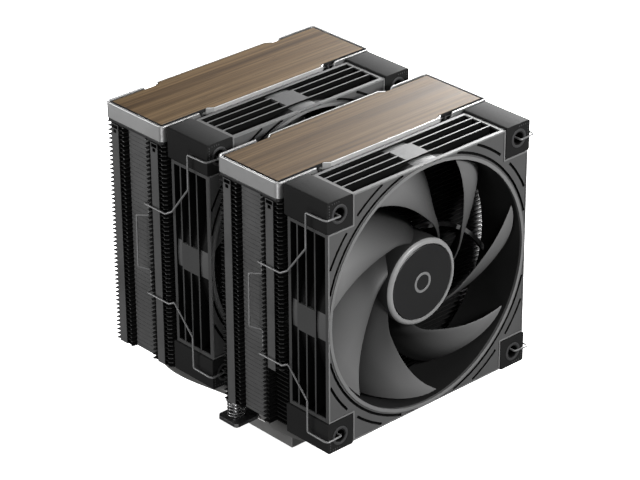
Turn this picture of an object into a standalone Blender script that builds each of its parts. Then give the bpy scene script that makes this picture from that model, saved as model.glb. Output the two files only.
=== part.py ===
"""Dual-tower CPU air cooler with two 120 mm fans, wood-topped tower covers and spring-screw mounting bar.

Row frame: metres, +Z up, origin at the centre of the cold plate's contact face. The front fan faces -Y.
Every solid is one closed body; touching pieces keep a 0.3 mm gap.
"""
import bisect
import math
import bpy
import bmesh
from mathutils import Vector, geometry

for ob in list(bpy.data.objects):
    bpy.data.objects.remove(ob, do_unlink=True)

# ------------------------------------------------------------------ driving dimensions (mm)
GAP = 0.3
TOP_Z = 160.0                 # top of covers and fans
TOWER_PITCH = 75.7            # front tower to rear tower, front fan to middle fan
TOWER_Y = -37.85              # centre of the front tower
FIN_X = 62.2                  # half width of the fin stack
FIN_FRONT, FIN_REAR = 20.35, 18.95    # fin plate reach in front of and behind the tower centre
FIN_Z0, FIN_Z1 = 40.0, 150.5
FIN_COUNT, FIN_T = 16, 1.3    # thick plates, fewer than the real stack
STRIP_A, STRIP_B = 11.15, 15.95       # folded side strips, distance from the tower centre
STRIP_T = 0.7
STRIP_BOTTOM_FRONT = 69.0     # the front strip of the front tower stops here, above the cut-back
CUT_Y = 11.1                  # reach of the cut-back fins in front of the tower centre
GROOVE_F, GROOVE_R = 7.4, 7.3         # clip groove, in front of and behind the tower centre
GROOVE_DEPTH = 2.6
COVER_X, COVER_Y = 62.4, 19.55        # half sizes of the tower cover
COVER_Z = 152.4               # underside of the silver rims
RIM_T = 1.0
NOTCH_IN, NOTCH_OUT = 32.3, 35.2      # ends of the wide middle part of the cover top
RIM_END = 40.6                # inner ends of the silver end rims
PIPE_R = 3.0
PIPE_Z = 6.2                  # pipe axis in the base
PIPE_BASE_X = (3.45, 10.35, 17.25)
# pipe legs: x, distance past the tower's centre; the outer legs of the two sides are staggered
PIPE_TOWER = {1: ((12.0, 4.6), (32.0, -6.5), (52.3, 14.0)), -1: ((12.0, 4.6), (32.0, -6.5), (52.3, -3.35))}
BASE_X, BASE_Y = 25.0, 22.4
BAR_Z0, BAR_Z1 = 11.6, 13.6
SCREW_X = 39.0
SCREW_Z0 = 7.6                # lower end of the screw threads at rest
SPRING_TOP = 21.4
FAN_FRONT = -85.4             # front face of the front fan's pads
FAN_Z = 99.77
PAD_HALF, PAD = 60.3, 14.7    # pads: half span and face size
PAD_DEPTH = 26.8
FRAME_HALF = 59.55
FRAME_D0, FRAME_D1 = 0.45, 25.45
BORE_R, DUCT_R = 57.6, 58.75
HOLE = 53.3                   # fan screw hole from the fan axis
HUB_R = 20.6
BLADES = 7
BLADE_TIP_R = 56.4
TIP_ANGLE = 20.6              # degrees, of the first blade's leading tip
WIRE_R = 0.5

# ------------------------------------------------------------------ materials
def material(name, rgb, rough, metal):
    m = bpy.data.materials.new(name)
    m.use_nodes = True
    b = m.node_tree.nodes["Principled BSDF"]
    b.inputs["Base Color"].default_value = (*rgb, 1)
    b.inputs["Roughness"].default_value = rough
    b.inputs["Metallic"].default_value = metal
    m.diffuse_color = (*rgb, 1)
    return m

M = {
    "fins": material("fins", (0.035, 0.035, 0.037), 0.45, 0.6),
    "nickel": material("nickel", (0.62, 0.61, 0.59), 0.22, 1.0),
    "steel_black": material("steel_black", (0.03, 0.03, 0.032), 0.4, 0.7),
    "steel": material("steel", (0.55, 0.55, 0.56), 0.3, 1.0),
    "silver": material("silver", (0.60, 0.60, 0.61), 0.32, 0.9),
    "wood": material("wood", (0.20, 0.13, 0.08), 0.5, 0.0),
    "black_plastic": material("black_plastic", (0.02, 0.02, 0.021), 0.5, 0.0),
    "frame_plastic": material("frame_plastic", (0.065, 0.065, 0.068), 0.45, 0.0),
    "rotor_plastic": material("rotor_plastic", (0.05, 0.05, 0.052), 0.4, 0.0),
    "rubber": material("rubber", (0.03, 0.03, 0.031), 0.75, 0.0),
    "brass": material("brass", (0.55, 0.42, 0.18), 0.35, 1.0),
    "copper_coil": material("copper_coil", (0.42, 0.2, 0.1), 0.4, 0.8),
}

# ------------------------------------------------------------------ builders
def make(name, bm, mat, smooth=False, origin=(0, 0, 0)):
    """Turn a bmesh in millimetres into an object in metres; origin is a point on the piece's joint axis."""
    bmesh.ops.remove_doubles(bm, verts=bm.verts, dist=1e-5)
    o = Vector(origin)
    for v in bm.verts:
        v.co = (v.co-o)*0.001
    bmesh.ops.recalc_face_normals(bm, faces=bm.faces)
    if bm.calc_volume(signed=True) < 0:
        bmesh.ops.reverse_faces(bm, faces=bm.faces)
    me = bpy.data.meshes.new(name)
    bm.to_mesh(me)
    bm.free()
    me.materials.append(M[mat])
    ob = bpy.data.objects.new(name, me)
    ob.location = o*0.001
    bpy.context.collection.objects.link(ob)
    if smooth:
        me.shade_smooth()
        me.set_sharp_from_angle(angle=math.radians(35))
    return ob

def inside(poly, x, y):
    c = False
    j = len(poly) - 1
    for i in range(len(poly)):
        xi, yi = poly[i]
        xj, yj = poly[j]
        if (yi > y) != (yj > y) and x < (xj - xi) * (y - yi) / (yj - yi) + xi:
            c = not c
        j = i
    return c

def slabs(loops, levels, rules):
    """Stack of slabs over one shared plan. loops: {key: polygon}; rules[i](set of keys) -> solid between
    levels[i] and levels[i+1]. Returns a bmesh in (plan x, plan y, level)."""
    pts, edges = [], []
    for p in loops.values():
        n0 = len(pts)
        pts += [Vector(q) for q in p]
        edges += [(n0 + i, n0 + (i + 1) % len(p)) for i in range(len(p))]
    vs, _, tris, *_ = geometry.delaunay_2d_cdt(pts, edges, [], 0, 1e-4)
    keys = []
    for t in tris:
        cx = sum(vs[i][0] for i in t) / 3
        cy = sum(vs[i][1] for i in t) / 3
        keys.append({k for k, p in loops.items() if inside(p, cx, cy)})
    n = len(levels) - 1
    on = [[bool(rules[i](keys[t])) for t in range(len(tris))] for i in range(n)]
    side = {}
    for t, tri in enumerate(tris):
        for a, b in ((0, 1), (1, 2), (2, 0)):
            side.setdefault(frozenset((tri[a], tri[b])), []).append(t)
    bm = bmesh.new()
    V = {}
    def v(i, l):
        if (i, l) not in V:
            V[(i, l)] = bm.verts.new((vs[i][0], vs[i][1], levels[l]))
        return V[(i, l)]
    for l in range(n):
        for t, tri in enumerate(tris):
            if not on[l][t]:
                continue
            a, b, c = tri
            area = (vs[b][0]-vs[a][0])*(vs[c][1]-vs[a][1])-(vs[b][1]-vs[a][1])*(vs[c][0]-vs[a][0])
            if area < 0:
                a, b, c = a, c, b
            if l == 0 or not on[l-1][t]:
                bm.faces.new((v(c, l), v(b, l), v(a, l)))
            if l == n-1 or not on[l+1][t]:
                bm.faces.new((v(a, l+1), v(b, l+1), v(c, l+1)))
            for p, q in ((a, b), (b, c), (c, a)):
                other = [u for u in side[frozenset((p, q))] if u != t]
                if not other or not on[l][other[0]]:
                    bm.faces.new((v(p, l), v(q, l), v(q, l+1), v(p, l+1)))
    # merge flat faces and drop needless vertices, then triangles
    bmesh.ops.dissolve_limit(bm, angle_limit=0.002, use_dissolve_boundaries=False,
                             verts=bm.verts[:], edges=bm.edges[:])
    bmesh.ops.triangulate(bm, faces=bm.faces[:], quad_method='BEAUTY', ngon_method='BEAUTY')
    return bm

def along_y(bm, y0, z0):
    """Plan (x, z) with levels as depth becomes world (x, y0+depth, z0+z)."""
    for v in bm.verts:
        x, z, d = v.co
        v.co = Vector((x, y0 + d, z0 + z))

def circle(r, n, cx=0.0, cy=0.0, start=0.0):
    return [(cx + r*math.cos(start + 2*math.pi*i/n), cy + r*math.sin(start + 2*math.pi*i/n)) for i in range(n)]

def rect(x0, y0, x1, y1):
    return [(x0, y0), (x1, y0), (x1, y1), (x0, y1)]

def turned(profile, n, axis='Z', at=(0, 0, 0)):
    """Closed profile of (r, h) turned about an axis; points at r=0 are merged to a pole."""
    bm = bmesh.new()
    rings = []
    for r, h in profile:
        if r < 1e-6:
            rings.append([bm.verts.new((0, 0, h))])
        else:
            rings.append([bm.verts.new((r*math.cos(2*math.pi*i/n), r*math.sin(2*math.pi*i/n), h)) for i in range(n)])
    m = len(rings)
    for k in range(m):
        A, B = rings[k], rings[(k+1) % m]
        if len(A) == 1 and len(B) == 1:
            continue
        for i in range(n):
            j = (i+1) % n
            if len(A) == 1:
                bm.faces.new((A[0], B[i], B[j]))
            elif len(B) == 1:
                bm.faces.new((A[i], B[0], A[j]))
            else:
                bm.faces.new((A[i], B[i], B[j], A[j]))
    for v in bm.verts:
        x, y, z = v.co
        if axis == 'Y':
            x, y, z = x, z, -y
        v.co = Vector((x + at[0], y + at[1], z + at[2]))
    return bm

def swept(points, r, n):
    """Round bar through points, capped."""
    P = [Vector(p) for p in points]
    bm = bmesh.new()
    T = []
    for i in range(len(P)):
        a = P[max(i-1, 0)]
        b = P[min(i+1, len(P)-1)]
        T.append((b-a).normalized())
    ref = Vector((0, 0, 1)) if abs(T[0].z) < 0.9 else Vector((1, 0, 0))
    N = (ref - T[0]*ref.dot(T[0])).normalized()
    rings = []
    for i, p in enumerate(P):
        if i:
            N = (N - T[i]*N.dot(T[i])).normalized()
        B = T[i].cross(N)
        # mitre so that the bar keeps its width on bends
        k = 1.0
        if 0 < i < len(P)-1:
            c = (P[i]-P[i-1]).normalized().dot((P[i+1]-P[i]).normalized())
            k = 1.0/max(math.sqrt((1+c)/2), 0.75)
        bend = None
        if k > 1.0001:
            bend = ((P[i+1]-P[i]).normalized() - (P[i]-P[i-1]).normalized())
            bend = bend - T[i]*bend.dot(T[i])
            bend = bend.normalized() if bend.length > 1e-9 else None
        ring = []
        for j in range(n):
            a = 2*math.pi*(j+0.5)/n
            o = N*math.cos(a)*r + B*math.sin(a)*r
            if bend is not None:
                o = o + bend*o.dot(bend)*(k-1)
            ring.append(bm.verts.new(p+o))
        rings.append(ring)
    for a, b in zip(rings, rings[1:]):
        for j in range(n):
            bm.faces.new((a[j], a[(j+1) % n], b[(j+1) % n], b[j]))
    bm.faces.new(list(reversed(rings[0])))
    bm.faces.new(rings[-1])
    return bm

def cut(ob, cutters, op='DIFFERENCE'):
    for i, c in enumerate(cutters):
        m = ob.modifiers.new("cut%d" % i, 'BOOLEAN')
        m.operation = op
        m.solver = 'EXACT'
        m.object = c
        c.hide_render = True
        c.display_type = 'WIRE'

def join_bm(bms):
    out = bmesh.new()
    for b in bms:
        me = bpy.data.meshes.new("tmp")
        b.to_mesh(me)
        b.free()
        out.from_mesh(me)
        bpy.data.meshes.remove(me)
    return out

# ------------------------------------------------------------------ fin stacks
def fin_stack(name, yc, side, cut_back):
    """Plates with folded strips and a clip groove on both sides, pierced by six pipe legs."""
    yf, yr = yc-FIN_FRONT, yc+FIN_REAR
    gx = FIN_X-GROOVE_DEPTH
    gf, gr = yc-GROOVE_F, yc+GROOVE_R
    right = [(FIN_X-0.9, yf), (FIN_X, yf+1.6), (FIN_X, gf), (gx, gf+0.5), (gx, gr-0.5), (FIN_X, gr), (FIN_X, yr)]
    plate = right + [(-x, y) for x, y in reversed(right)]
    loops = {"plate": plate}
    for sx in (1, -1):
        for k, (a, b) in enumerate(((yc-STRIP_B, yc-STRIP_A), (yc+STRIP_A, yc+STRIP_B))):
            loops["strip%d%d" % (k, sx)] = rect(*sorted((sx*(FIN_X-STRIP_T), sx*FIN_X))[:1], a, sorted((sx*(FIN_X-STRIP_T), sx*FIN_X))[1], b)
        lo, hi = sorted((sx*(gx-STRIP_T), sx*gx))
        loops["panel%d" % sx] = rect(lo, gf+0.5, hi, gr-0.5)
        for k, (px, py) in enumerate(PIPE_TOWER[sx]):
            h = PIPE_R+GAP+0.15
            y = yc+side*py
            loops["hole%d%d" % (k, sx)] = rect(sx*px-h, y-h, sx*px+h, y+h)
    if cut_back:
        loops["cut"] = [(-FIN_X-1, yf-1), (FIN_X+1, yf-1), (FIN_X+1, yc-CUT_Y-0.05), (57.2, yc-CUT_Y-0.05), (57.2, yc-18.6),
                        (-57.2, yc-18.6), (-57.2, yc-CUT_Y-0.05), (-FIN_X-1, yc-CUT_Y-0.05)]
    pitch = (FIN_Z1-FIN_Z0-FIN_T)/(FIN_COUNT-1)
    levels, rules = [], []
    def plate_rule(low):
        def f(k):
            if any(s.startswith("hole") for s in k) or "plate" not in k:
                return False
            return not (low and "cut" in k)
        return f
    def gap_rule(low):
        def f(k):
            if "plate" not in k:
                return False
            if low and "cut" in k:
                return False
            return any(s.startswith("strip") or s.startswith("panel") for s in k)
        return f
    for i in range(FIN_COUNT):
        z = FIN_Z0+pitch*i
        low = cut_back and z < STRIP_BOTTOM_FRONT
        nxt_low = cut_back and z+pitch < STRIP_BOTTOM_FRONT
        levels += [z, z+FIN_T]
        rules.append(plate_rule(low))
        if i < FIN_COUNT-1:
            rules.append(gap_rule(low or nxt_low))
    return make(name, slabs(loops, levels, rules), "fins")

# ------------------------------------------------------------------ heat pipes
def heat_pipe(name, sx, k):
    """One U: flat run through the base, a bend outward and up on each side, two straight legs."""
    px, py = PIPE_TOWER[sx][k]
    bx, tx = sx*PIPE_BASE_X[k], sx*px
    yt = -TOWER_Y+py
    ys = 23.0+1.3*(2-k)
    half = [(bx, 0, PIPE_Z), (bx, 20.0, PIPE_Z), (bx, ys, PIPE_Z)]
    p0, p1 = Vector((bx, ys, PIPE_Z)), Vector((tx, yt, 39.0))
    d = (p1-p0).length
    pull0, pull1 = (0.40, 1.00) if (sx, k) == (1, 2) else (0.80, 0.70)   # keeps clear of the next pipe
    n = 6
    for i in range(1, n):
        t = i/n
        h00, h10 = 2*t**3-3*t**2+1, t**3-2*t**2+t
        h01, h11 = -2*t**3+3*t**2, t**3-t**2
        half.append(tuple(p0*h00 + Vector((0, 1, 0))*h10*d*pull0 + p1*h01 + Vector((0, 0, 1))*h11*d*pull1))
    half += [(tx, yt, 39.0), (tx, yt, FIN_Z1-3.7)]
    full = [(x, -y, z) for x, y, z in reversed(half[1:])]+half
    return make(name, swept(full, PIPE_R, 8), "nickel", True)

# ------------------------------------------------------------------ covers
def cover_outline(quarter, yc):
    """Plan loop of a cover piece from its +X +Y quarter, listed from the end towards the middle."""
    up = quarter + [(-x, y) for x, y in reversed(quarter)]
    return [(x, y+yc) for x, y in up + [(x, -y) for x, y in reversed(up)]]

def cover(prefix, yc):
    # black base with carrier block
    loops = {"base": [(x, y+yc) for x, y in rect(-COVER_X+0.4, -COVER_Y+0.35, COVER_X-0.4, COVER_Y-0.35)],
             "block": [(x, y+yc) for x, y in rect(-60.2, -16.6, 60.2, 16.6)]}
    rules = [lambda k: "base" in k, lambda k: "block" in k]
    make(prefix+"_cover_base", slabs(loops, [150.8, 152.1, 156.6], rules), "black_plastic")
    # silver tray: plate with an upturned lip on the wide middle part
    a, b, lip = NOTCH_IN, NOTCH_OUT, 0.55
    loops = {"out": cover_outline([(60.3, 16.2), (b+0.8, 16.2), (b, 17.3), (a, COVER_Y)], yc),
             "in": cover_outline([(61.0, 17.3), (b-0.9, 17.3), (a-0.25, COVER_Y-lip)], yc)}
    rules = [lambda k: "out" in k, lambda k: "out" in k and "in" not in k]
    make(prefix+"_cover_tray", slabs(loops, [156.9, 157.7, TOP_Z], rules), "silver")
    # wood plate, inset from the lip
    loops = {"w": cover_outline([(60.3, 17.0), (b-1.35, 17.0), (a-0.55, COVER_Y-lip-GAP)], yc)}
    make(prefix+"_cover_wood", slabs(loops, [158.0, TOP_Z-0.1], [lambda k: "w" in k]), "wood")
    # silver U-shaped end rims with sloping ends
    for sx, side in ((-1, "left"), (1, "right")):
        R = 2.4
        def u(xo, yo, r, xe):
            p = [(xe, -yo)]
            for cx, cy, a0 in ((xo-r, -yo+r, -90), (xo-r, yo-r, 0)):
                for i in range(4):
                    a = math.radians(a0+30*i)
                    p.append((cx+r*math.cos(a), cy+r*math.sin(a)))
            p.append((xe, yo))
            return p
        xe = RIM_END-3.4
        loop = u(COVER_X, COVER_Y, R, xe) + list(reversed(u(COVER_X-RIM_T, COVER_Y-RIM_T, R-RIM_T, xe)))
        loops = {"r": [(sx*x, y+yc) for x, y in loop]}
        bm = slabs(loops, [COVER_Z, TOP_Z], [lambda k: "r" in k])
        for v in bm.verts:
            if abs(v.co.x) < xe+0.1 and v.co.z > COVER_Z+1:
                v.co.x = sx*RIM_END
        make("%s_cover_rim_%s" % (prefix, side), bm, "silver")

# ------------------------------------------------------------------ fans
def strut(a0, w):
    """Swept motor strut as a plan loop: its angle falls as the radius grows."""
    pts = []
    for r in (18.5, 24.0, 32.0, 42.0, 50.0, 58.2):
        ang = a0 - 58.0*((r-18.5)/36.9)**0.66
        pts.append((r, math.radians(ang)))
    L = [(r*math.cos(a)-w*math.sin(a), r*math.sin(a)+w*math.cos(a)) for r, a in pts]
    Rr = [(r*math.cos(a)+w*math.sin(a), r*math.sin(a)-w*math.cos(a)) for r, a in pts]
    return Rr + list(reversed(L))

def blade_bm(tip_deg, nr=5, nc=3):
    """One swept blade as a closed thin shell in (x, depth, z) about the fan axis."""
    R = (19.6, 22.5, 25.0, 30.0, 36.0, 43.0, 50.0, 56.4)
    F = (-71.0, -62.0, -53.0, -39.0, -26.6, -16.3, -7.2, 0.0)
    def lead(r):
        i = min(max(bisect.bisect(R, r)-1, 0), len(R)-2)
        t = (r-R[i])/(R[i+1]-R[i])
        return F[i]+(F[i+1]-F[i])*t
    radii = [19.6, 26.0, 34.0, 44.5, BLADE_TIP_R][:nr]
    bm = bmesh.new()
    grids = [[], []]
    for r in radii:
        q = (r-19.6)/(BLADE_TIP_R-19.6)
        d0 = 8.0-5.0*q
        d1 = 20.6-0.6*q
        sweep = 40.0
        for s in (0, 1):
            row = []
            for j in range(nc+1):
                t = j/nc
                ang = math.radians(tip_deg+lead(r)-sweep*t)
                d = d0+(d1-d0)*t**(1.25+0.5*q)
                th = (0.5+0.5*math.sin(math.pi*min(t*1.3+0.15, 1)))*(1.25-0.45*q)*0.5
                dd = d + (th if s else -th)
                row.append(bm.verts.new((r*math.cos(ang), dd, r*math.sin(ang))))
            grids[s].append(row)
    A, B = grids
    for i in range(nr-1):
        for j in range(nc):
            bm.faces.new((A[i][j], A[i][j+1], A[i+1][j+1], A[i+1][j]))
            bm.faces.new((B[i][j], B[i+1][j], B[i+1][j+1], B[i][j+1]))
    for i in range(nr-1):
        bm.faces.new((A[i][0], A[i+1][0], B[i+1][0], B[i][0]))
        bm.faces.new((A[i+1][nc], A[i][nc], B[i][nc], B[i+1][nc]))
    for j in range(nc):
        bm.faces.new((A[0][j+1], A[0][j], B[0][j], B[0][j+1]))
        bm.faces.new((A[nr-1][j], A[nr-1][j+1], B[nr-1][j+1], B[nr-1][j]))
    bmesh.ops.recalc_face_normals(bm, faces=bm.faces)
    return bm

def fan(prefix, y0):
    N = 24
    axis = (0, y0, FAN_Z)
    # frame: flanges, duct, corner brackets with ears inside the pads, side bridges, struts, motor seat
    n = PAD_HALF-PAD-GAP
    F = FRAME_HALF
    outline = [(n, F), (-n, F), (-n, n), (-F, n), (-F, -n), (-n, -n), (-n, -F), (n, -F), (n, -n), (F, -n), (F, n), (n, n)]
    loops = {"out": outline, "duct": circle(DUCT_R, N), "bore": circle(BORE_R, N)}
    for i in range(4):
        sx, sz = ((1, 1), (-1, 1), (-1, -1), (1, -1))[i]
        def r4(x0, z0, x1, z1):
            xs, zs = sorted((sx*x0, sx*x1)), sorted((sz*z0, sz*z1))
            return rect(xs[0], zs[0], xs[1], zs[1])
        loops["core%d" % i] = r4(40.2, 40.2, n, n)
        loops["coreup%d" % i] = r4(n-1.7, n, n, F)
        loops["coreside%d" % i] = r4(n, n-1.7, F, n)
        loops["ear%d" % i] = r4(n, n, 57.4, 57.4)
        loops["earhole%d" % i] = circle(2.7, 8, sx*HOLE, sz*HOLE)
        loops["arm%d" % i] = strut(50.0+90*i, 1.4)
    loops["seat"] = circle(20.4, 16)
    def ring(k):
        return "duct" in k and "bore" not in k
    def core(k):
        return any(s.startswith("core") for s in k) and ("bore" not in k)
    def has(k, w):
        return any(s.startswith(w) for s in k)
    rules = [lambda k: ("out" in k and "bore" not in k),
             lambda k: ring(k) or core(k),
             lambda k: ring(k) or core(k) or (has(k, "ear") and not has(k, "earhole")),
             lambda k: ("out" in k and "bore" not in k) or (has(k, "ear") and not has(k, "earhole")),
             lambda k: ring(k) or core(k),
             lambda k: ("out" in k and "bore" not in k) or has(k, "arm") or "seat" in k]
    levels = [FRAME_D0, 2.2, 9.6, 13.6, 17.2, 23.2, FRAME_D1]
    bm = slabs(loops, levels, rules)
    along_y(bm, y0, FAN_Z)
    make(prefix+"_frame", bm, "frame_plastic", origin=axis)
    # corner pads, cut out inside for the frame's ear
    for i, nm in enumerate(("top_right", "top_left", "bottom_left", "bottom_right")):
        sx, sz = ((1, 1), (-1, 1), (-1, -1), (1, -1))[i]
        def r4(x0, z0, x1, z1):
            xs, zs = sorted((sx*x0, sx*x1)), sorted((sz*z0, sz*z1))
            return rect(xs[0], zs[0], xs[1], zs[1])
        a = PAD_HALF-PAD
        loops = {"pad": r4(a, a, PAD_HALF, PAD_HALF), "ear": r4(a, a, 57.4+GAP, 57.4+GAP), "hole": circle(2.3, 8, sx*HOLE, sz*HOLE)}
        rules = [lambda k: "pad" in k and "hole" not in k,
                 lambda k: "pad" in k and "ear" not in k,
                 lambda k: "pad" in k and "hole" not in k]
        bm = slabs(loops, [0.0, 9.6-GAP, 17.2+GAP, PAD_DEPTH], rules)
        along_y(bm, y0, FAN_Z)
        make("%s_pad_%s" % (prefix, nm), bm, "rubber", origin=axis)
    # impeller: hub cup with a recess for the cap, joined to its blades
    prof = [(1.75, 6.1), (1.75, 8.3), (18.3, 8.3), (18.3, 20.4), (HUB_R-0.1, 20.4), (HUB_R-0.1, 6.6), (HUB_R-1.4, 4.6), (17.9, 4.6), (17.9, 6.1)]
    hub = make(prefix+"_impeller", turned(prof, N, 'Y', axis), "rotor_plastic", True, axis)
    blades = []
    for b in range(BLADES):
        bm = blade_bm(TIP_ANGLE-360.0/BLADES*b)
        for v in bm.verts:
            v.co += Vector((0, y0, FAN_Z))
        blades.append(bm)
    bl = make(prefix+"_blades_cutter", join_bm(blades), "rotor_plastic", origin=axis)
    cut(hub, [bl], 'UNION')
    make(prefix+"_hub_cap", turned([(0, 4.5), (17.5, 4.5), (17.5, 5.8), (0, 5.8)], 24, 'Y', axis), "rotor_plastic", True, axis)
    make(prefix+"_shaft", turned([(0, 6.2), (1.45, 6.2), (1.45, 22.4), (0, 22.4)], 8, 'Y', axis), "steel", True, axis)
    make(prefix+"_bearing", turned([(1.75, 9.4), (4.0, 9.4), (4.0, 22.9), (1.75, 22.9)], 10, 'Y', axis), "brass", True, axis)
    make(prefix+"_stator", turned([(4.3, 10.4), (15.8, 10.4), (15.8, 19.6), (9.0, 19.6), (9.0, 22.9), (4.3, 22.9)], 12, 'Y', axis), "copper_coil", True, axis)

def clip_path(sx, y0):
    """Wire clip, as fan-local depth d from the pads' front face turned into world points; sx=-1 is the left side."""
    xh = HOLE+0.3
    def p(x, d, z):
        return (sx*x, y0+d, z)
    return [p(xh, 5.0, 152.6), p(xh, -0.9, 152.6), p(61.3, -0.95, 152.9), p(62.0, 0.6, 152.9), p(62.0, 11.4, 152.6), p(62.0, 11.6, 135.8),
            p(62.1, 23.0, 121.0), p(63.0, 26.6, 118.9), p(63.1, 41.0, 118.9), p(60.5, 41.3, 118.6), p(60.45, 41.3, 112.0),
            p(63.3, 46.6, 111.2), p(63.3, 46.9, 85.2), p(60.45, 41.3, 84.6), p(60.45, 41.3, 74.6), p(60.5, 41.3, 74.2), p(63.1, 41.0, 74.0), p(63.0, 26.2, 74.0), p(62.1, 23.4, 75.4),
            p(62.0, 11.5, 62.6), p(62.0, 11.5, 46.8), p(62.0, 0.6, 46.6), p(61.3, -0.95, 46.6), p(xh, -0.9, 46.9), p(xh, 5.0, 46.9)]

def clip(name, sx, y0):
    make(name, swept(clip_path(sx, y0), WIRE_R, 5), "steel", True, (sx*(HOLE+0.3), y0, FAN_Z))

# ------------------------------------------------------------------ base and mounting
def base():
    def groove_profile(z_flat, up):
        """XZ outline of a block with six half-round grooves open at z_flat."""
        rg = PIPE_R+GAP
        pts = []
        xs = sorted([s*x for x in PIPE_BASE_X for s in (1, -1)])
        for cx in xs:
            dz = z_flat-PIPE_Z
            a = math.asin(max(-1, min(1, dz/rg)))
            a0, a1 = math.pi-a, 2*math.pi+a
            if up:
                a0, a1 = math.pi-a, a
            for i in range(6):
                t = a0+(a1-a0)*i/5
                pts.append((cx+rg*math.cos(t), PIPE_Z+rg*math.sin(t)))
        return pts
    low = [(-BASE_X, 0), (BASE_X, 0), (BASE_X, 5.9)] + list(reversed(groove_profile(5.9, False))) + [(-BASE_X, 5.9)]
    bm = slabs({"p": low}, [-BASE_Y, BASE_Y], [lambda k: "p" in k])
    for v in bm.verts:
        x, z, y = v.co
        v.co = Vector((x, y, z))
    make("cold_plate", bm, "nickel")
    top = [(-BASE_X+1.0, 6.3)] + groove_profile(6.3, True) + [(BASE_X-1.0, 6.3), (BASE_X-1.0, 11.3), (-BASE_X+1.0, 11.3)]
    bm = slabs({"p": top}, [-12.0, 12.0], [lambda k: "p" in k])
    for v in bm.verts:
        x, z, y = v.co
        v.co = Vector((x, y, z))
    make("base_clamp", bm, "nickel")
    # crossbar: waisted plate with round-cornered ends and two screw holes
    right = [(22.0, -9.0), (27.5, -9.0), (30.0, -5.4), (31.6, -5.4), (31.6, -6.8), (43.4, -6.8), (45.0, -5.2), (45.0, 5.2), (43.4, 6.8), (31.6, 6.8), (31.6, 5.4), (30.0, 5.4), (27.5, 9.0), (22.0, 9.0)]
    left = [(-x, -y) for x, y in right]
    loops = {"bar": right+left, "h1": circle(2.7, 10, SCREW_X, 0), "h2": circle(2.7, 10, -SCREW_X, 0)}
    make("mounting_crossbar", slabs(loops, [BAR_Z0, BAR_Z1], [lambda k: "bar" in k and "h1" not in k and "h2" not in k]), "steel_black")
    for sx, nm in ((-1, "left"), (1, "right")):
        at = (sx*SCREW_X, 0, 0)
        # screw: threaded tip, captive ring under the bar, shaft, head with a socket
        prof = [(0, SCREW_Z0), (1.5, SCREW_Z0), (1.9, SCREW_Z0+0.5), (1.9, 10.3), (2.95, 10.3), (2.95, 11.2), (1.9, 11.2), (1.9, 23.4), (4.0, 23.4), (4.0, 27.6), (3.4, 28.2), (1.6, 28.2), (1.6, 25.6), (0, 25.6)]
        make("screw_"+nm, turned(prof, 10, 'Z', at), "steel", True, at)
        make("screw_washer_"+nm, turned([(2.2, SPRING_TOP+0.3), (4.6, SPRING_TOP+0.3), (4.6, SPRING_TOP+1.6), (2.2, SPRING_TOP+1.6)], 12, 'Z', at), "steel", True, at)
        turns, per = 4, 8
        z0, z1 = BAR_Z1+0.3+0.4, SPRING_TOP-0.4
        pts = []
        for i in range(turns*per+1):
            t = i/(turns*per)
            # closed end turns, open middle turns
            f = 0.5-0.5*math.cos(math.pi*t)
            z = z0+(z1-z0)*(0.45*t+0.55*f)
            a = 2*math.pi*turns*t
            pts.append((sx*SCREW_X+3.85*math.cos(a), 3.85*math.sin(a), z))
        make("spring_"+nm, swept(pts, 0.4, 4), "steel", True, at)

# ------------------------------------------------------------------ assembly
fin_stack("front_fin_stack", TOWER_Y, -1, True)
fin_stack("rear_fin_stack", TOWER_Y+TOWER_PITCH, 1, False)
n = 1
for k in range(3):
    for sx in (-1, 1):
        heat_pipe("heat_pipe_%d" % n, sx, k)
        n += 1
cover("front", TOWER_Y)
cover("rear", TOWER_Y+TOWER_PITCH)
fan("front_fan", FAN_FRONT)
fan("middle_fan", FAN_FRONT+TOWER_PITCH)
for pre, y0 in (("front_fan", FAN_FRONT), ("middle_fan", FAN_FRONT+TOWER_PITCH)):
    clip(pre+"_clip_left", -1, y0)
    clip(pre+"_clip_right", 1, y0)
base()
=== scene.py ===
import bisect
import math
import bpy
import bmesh
import numpy as np
from mathutils import Vector, Matrix, geometry


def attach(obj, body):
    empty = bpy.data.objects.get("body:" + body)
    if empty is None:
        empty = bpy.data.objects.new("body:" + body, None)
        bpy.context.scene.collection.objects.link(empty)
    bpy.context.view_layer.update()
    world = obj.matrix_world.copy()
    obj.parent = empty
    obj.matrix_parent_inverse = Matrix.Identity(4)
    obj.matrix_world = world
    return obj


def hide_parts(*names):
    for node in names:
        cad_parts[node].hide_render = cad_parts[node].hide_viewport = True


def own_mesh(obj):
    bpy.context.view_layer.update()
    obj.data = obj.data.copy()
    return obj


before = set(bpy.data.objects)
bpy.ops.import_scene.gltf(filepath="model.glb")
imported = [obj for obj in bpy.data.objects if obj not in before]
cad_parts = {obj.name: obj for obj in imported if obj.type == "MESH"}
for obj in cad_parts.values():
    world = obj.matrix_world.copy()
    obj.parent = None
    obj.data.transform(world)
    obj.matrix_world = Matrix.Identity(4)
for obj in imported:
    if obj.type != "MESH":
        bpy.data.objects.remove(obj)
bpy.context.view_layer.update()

# ------------------------------------------------------------------ dimensions, millimetres in the row frame
PITCH = 75.7
TOWER_Y = -37.85
FAN_Y = -85.4
FAN_Z = 99.77
TOP_Z = 160.0
FIN_X = 62.2
FINS, FIN_PITCH, FIN_T = 52, 2.16, 0.42
FIN_Z0 = 40.0
HOLE = 53.3

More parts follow.
